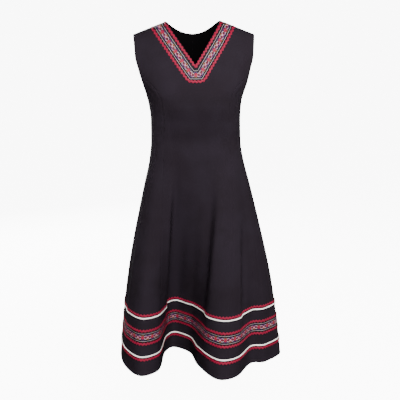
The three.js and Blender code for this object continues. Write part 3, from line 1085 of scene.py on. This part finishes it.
# %% [markdown]
# ## Swept trims
#
# Braid, piping and thread all have one small section that is drawn along a line. A grid is
# bent into a tube round that line and closed where its edges meet. The braid's line
# swings from side to side, which makes its scallops. The thread's line arches over each
# stitch, and sinks into the braid where the needle went through.

# %% Sweep helper
STITCH_ROUND = 0.6  # under 1, so that a stitch is flat on top and steep at its ends


def sweep(bm, along, place, half_wide, half_high, centre, swing=0.0, pitch=1.0, sides=10,
          arch=0.0, stitch=1.0, closed_ring=True):
    """Adds a tube of oval section along a trim. All sizes are in millimetres."""
    angle = np.linspace(0, 2 * math.pi, sides + 1)
    grid_along, grid_angle = np.meshgrid(along, angle)
    middle = swing * np.sin(2 * math.pi * grid_along / pitch)
    arched = arch * np.abs(np.sin(math.pi * grid_along / stitch)) ** STITCH_ROUND
    up = middle + half_wide * np.cos(grid_angle)
    lift = centre - half_high * np.sin(grid_angle) + arched
    points = place(grid_along, up, lift)
    half_girth = math.pi * (half_wide + half_high) / 2
    uv = np.stack([grid_along, grid_angle / math.pi * half_girth], -1) * MM
    bent_grid(bm, points, uv)
    bmesh.ops.remove_doubles(bm, verts=bm.verts, dist=MERGE_MM * MM)
    if not closed_ring:
        ends = [edge for edge in bm.edges if edge.is_boundary]
        bmesh.ops.holes_fill(bm, edges=ends, sides=0)
    bmesh.ops.recalc_face_normals(bm, faces=bm.faces)


def fitting(length, pitch):
    """A pitch near the wanted one that fits a closed ring a whole number of times."""
    return length / round(length / pitch)


SCALLOP_MM = 11.0
BRAID_SWING_MM = 1.6
BRAID_HALF_MM = 3.6
BRAID_HIGH_MM = 0.75
SCALLOP_POINTS = 8


def make_braid(name, length, place, closed_ring):
    """Sweeps one scalloped braid along a line."""
    pitch = fitting(length, SCALLOP_MM)
    scallops = round(length / pitch)
    bm = bmesh.new()
    sweep(bm, np.linspace(0, length, scallops * SCALLOP_POINTS + 1), place, BRAID_HALF_MM,
          BRAID_HIGH_MM, LIFT_MM + BRAID_HIGH_MM, swing=BRAID_SWING_MM, pitch=pitch,
          closed_ring=closed_ring)
    place_piece(name + "_scalloped", bm, braid_red, [name])
    print(name, round(length), "mm,", scallops, "scallops")


print("a scallop every", SCALLOP_MM, "mm")

# %% Braids and piping round the hem
PIPING_SEWN_MM = 1.3  # on each side, this much of the strip is hidden in its seam
PIPING_HIGH_MM = 1.2
PIPING_STEP_MM = 4
PIPING_SIDES = 14
HEM_BRAIDS = ("hem_braid_low", "hem_ribbon_braid_low", "hem_ribbon_braid_high", "hem_braid_high")
HEM_PIPINGS = ("hem_piping_low", "hem_piping_high")
for name in HEM_BRAIDS:
    make_braid(name, *ring_place(trim_levels(name)[0]), True)
for name in HEM_PIPINGS:
    level, width = trim_levels(name)
    length, place = ring_place(level)
    bm = bmesh.new()
    along = np.linspace(0, length, int(length / PIPING_STEP_MM))
    sweep(bm, along, place, width / 2 - PIPING_SEWN_MM, PIPING_HIGH_MM,
          LIFT_MM + PIPING_HIGH_MM, sides=PIPING_SIDES)
    place_piece(name + "_satin", bm, piping_white, [name])
    print(name, round(length), "mm round")

# %% [markdown]
# ## Trims along the neck
#
# The V's trims are laid out as they look from the front, as a maker would pin them: each
# line keeps its distance from the V's edge. A point of that front view is then looked
# up on the cloth. Below the V's point the ribbon is folded flat across, which leaves
# a mitre at each side.

# %% Front view to cloth
V_FOOT = SHOULDER - NECK_DEPTH
POINT_FLAT = 3
SEAM_CLEAR = 0.3
BELOW_V = 120  # no trim of the neck reaches this far below the V's point
ARM_LIMIT = 300.0
NECK_RIBBON_MM = (11.4, 41.5)  # from the V's edge to the ribbon's two edges
V_UP, V_OUT = {}, {}
for side, half in NECK_HALF.items():
    length = math.hypot(half, NECK_DEPTH)
    V_UP[side] = np.array([half, NECK_DEPTH]) / length
    V_OUT[side] = np.array([NECK_DEPTH, -half]) / length


def on_front(x, z, lift):
    """The point of the cloth that is seen at x, z from the front, up to the shoulder."""
    z = np.minimum(z, height_at(x, SHOULDER))
    level = solve(lambda guess: height_at(x, guess) - z, np.full_like(x, SHOULDER),
                  np.full_like(x, V_POINT - BELOW_V))
    return cloth(turn_at(x, level), level, lift)


def along_arm(distance, climb, side):
    """Points beside the V, each at a distance from its edge and some way up along it."""
    place = distance[..., None] * V_OUT[side] + climb[..., None] * V_UP[side]
    return place + np.array([0, V_FOOT])


def arm_top(distance, side):
    """How far up a line beside the V meets the shoulder seam, seen from the front."""
    def misses(climb):
        place = along_arm(distance, climb, side)
        return height_at(place[..., 0], SHOULDER - SEAM_CLEAR) - place[..., 1]

    return solve(misses, np.zeros_like(distance), np.full_like(distance, ARM_LIMIT))


def arm_foot(distance, side):
    """How far up such a line ends: on the centre line, or at the flat end below the V."""
    pointed = distance / V_OUT[side][0]
    below = np.minimum(pointed, distance + POINT_FLAT)
    return (-below - V_OUT[side][1] * distance) / V_UP[side][1]


def flat_half(distance, side):
    """Half the width of the flat end at a distance from the V."""
    return np.maximum(along_arm(distance, arm_foot(distance, side), side)[..., 0], 0)


print("half of the ribbon's flat end:", flat_half(np.array(NECK_RIBBON_MM), -1).round(1), "mm")

# %% Neck ribbon
FOLD_GAP_MM = 0.2
ARM_COLUMNS = 60
FOOT_COLUMNS = 21


def ribbon_lift(distance, columns):
    """The ribbon's lift off the cloth, a little more along its middle."""
    middle = np.mean(NECK_RIBBON_MM)
    away = (distance - middle) / np.ptp(NECK_RIBBON_MM) * 2
    return in_columns(RIBBON_LIFT_MM + RIBBON_DOME_MM * (1 - away ** 2), columns)


def neck_arm(bm, side):
    """One arm of the neck ribbon, from the shoulder seam to its mitre."""
    distance = np.linspace(*NECK_RIBBON_MM, RIBBON_ROWS)
    top, foot = arm_top(distance, side), arm_foot(distance, side) + FOLD_GAP_MM
    climb = foot[:, None] + (top - foot)[:, None] * np.linspace(0, 1, ARM_COLUMNS)
    lift = ribbon_lift(distance, ARM_COLUMNS)
    distance = in_columns(distance, ARM_COLUMNS)
    place = along_arm(distance, climb, side)
    points = on_front(side * place[..., 0], place[..., 1], lift)
    uv = np.stack([climb * side, distance - np.mean(NECK_RIBBON_MM)], -1) * MM
    if side > 0:
        points, uv = points[::-1], uv[::-1]
    bent_grid(bm, points, uv)
    return area_of(points)


def neck_foot(bm):
    """The stretch of ribbon that is folded flat across the end of the V."""
    distance = np.linspace(*NECK_RIBBON_MM, RIBBON_ROWS)
    right, left = flat_half(distance, -1) - FOLD_GAP_MM, flat_half(distance, 1) - FOLD_GAP_MM
    x = -right[:, None] + (right + left)[:, None] * np.linspace(0, 1, FOOT_COLUMNS)
    z = in_columns(V_FOOT - distance - POINT_FLAT, FOOT_COLUMNS)
    points = on_front(x, z, ribbon_lift(distance, FOOT_COLUMNS))
    across = in_columns(distance - np.mean(NECK_RIBBON_MM), FOOT_COLUMNS)
    uv = np.stack([x, across], -1) * MM
    bent_grid(bm, points[::-1], uv[::-1])
    return area_of(points)


bm = bmesh.new()
area = neck_arm(bm, 1) + neck_arm(bm, -1) + neck_foot(bm)
bmesh.ops.remove_doubles(bm, verts=bm.verts, dist=MERGE_MM * MM)
neck_ribbon = place_piece("neck_ribbon_cloth", bm, ribbon_woven, ["neck_ribbon"])
give_wall(neck_ribbon, RIBBON_MM, RIBBON_EDGE_MM)
print("neck ribbon area", round(area, 4), "m2")

# %% Neck braids
PATH_STEP_MM = 0.7
CORNER_POINTS = 12
CORNER_SHARE = 0.45  # a curve takes up at most this share of a side
NARROW_FLAT_MM = 4  # a flat end with a half under this is drawn as a point


def rounded_path(corners, radius):
    """A path through corners of the front view, rounded by curves, in even steps."""
    points = [corners[0]]
    for before, corner, after in zip(corners, corners[1:], corners[2:]):
        back, on = np.linalg.norm(before - corner), np.linalg.norm(after - corner)
        reach = min(radius, CORNER_SHARE * back, CORNER_SHARE * on)
        leave = corner + (before - corner) / back * reach
        arrive = corner + (after - corner) / on * reach
        t = np.linspace(0, 1, CORNER_POINTS)[:, None]
        points.extend((1 - t) ** 2 * leave + 2 * t * (1 - t) * corner + t ** 2 * arrive)
    points.append(corners[-1])
    points = np.array(points)
    run = distances(points, 0)
    even = np.linspace(0, run[-1], int(run[-1] / PATH_STEP_MM) + 1)
    return even, np.stack([np.interp(even, run, points[:, i]) for i in (0, 1)], -1)


def neck_line(distance, radius):
    """A line's length, and a function that finds points beside it, as for a ring."""
    distance = np.array(distance)
    mirror = np.array([-1, 1])
    left, right = [
        (along_arm(distance, arm_foot(distance, side), side),
         along_arm(distance, arm_top(distance, side), side)) for side in (1, -1)
    ]
    corners = [right[1] * mirror, right[0] * mirror, left[0], left[1]]
    if left[0][0] < NARROW_FLAT_MM:
        corners[1:3] = [(corners[1] + corners[2]) / 2]
    run, path = rounded_path(corners, radius)
    ahead = np.gradient(path, axis=0)
    ahead = ahead / np.linalg.norm(ahead, axis=-1, keepdims=True)

    def place(along, up, lift):
        here = np.stack([np.interp(along, run, path[:, i]) for i in (0, 1)], -1)
        aim = np.stack([np.interp(along, run, ahead[:, i]) for i in (0, 1)], -1)
        x = here[..., 0] - aim[..., 1] * up
        z = here[..., 1] + aim[..., 0] * up
        return on_front(x, z, lift)

    return run[-1], place


# Name, distance from the V's edge and radius of the corners, in millimetres.
NECK_BRAIDS = (("neck_braid_inner", 6.0, 6.0), ("neck_braid_outer", 46.9, 14.0))
for name, distance, radius in NECK_BRAIDS:
    make_braid(name, *neck_line(distance, radius), False)

# %% [markdown]
# ## Stitching
#
# Each braid is held by a line of machine stitches along its middle, in thread of its own
# colour. The stitches could be drawn in the braid's material, but as real thread they
# catch the light. All lines of the hem are one piece, and so are those of the neck.

# %% Stitch lines
STITCH_MM = 3.2
THREAD_HALF_MM = 0.28
THREAD_STEP_MM = 0.8
THREAD_SUNK_MM = 0.25
THREAD_ARCH_MM = 0.4
THREAD_SIDES = 5


def stitch_line(bm, length, place, closed_ring):
    """Adds one line of stitches that swings with its braid."""
    along = np.linspace(0, length, round(length / THREAD_STEP_MM))
    top = LIFT_MM + 2 * BRAID_HIGH_MM
    pitch = fitting(length, SCALLOP_MM)

    def on_braid(at, up, lift):
        return place(at, up + BRAID_SWING_MM * np.sin(2 * math.pi * at / pitch), lift)

    line = bmesh.new()
    sweep(line, along, on_braid, THREAD_HALF_MM, THREAD_HALF_MM, top - THREAD_SUNK_MM,
          sides=THREAD_SIDES, arch=THREAD_ARCH_MM, stitch=fitting(length, STITCH_MM),
          closed_ring=closed_ring)
    mesh = mesh_of("line", line)
    bm.from_mesh(mesh)
    bpy.data.meshes.remove(mesh)


bm = bmesh.new()
for name in HEM_BRAIDS:
    stitch_line(bm, *ring_place(trim_levels(name)[0]), True)
place_piece("hem_braid_stitches", bm, thread_red, [])
bm = bmesh.new()
for name, distance, radius in NECK_BRAIDS:
    stitch_line(bm, *neck_line(distance, radius), False)
place_piece("neck_braid_stitches", bm, thread_red, [])
print("a stitch every", STITCH_MM, "mm")
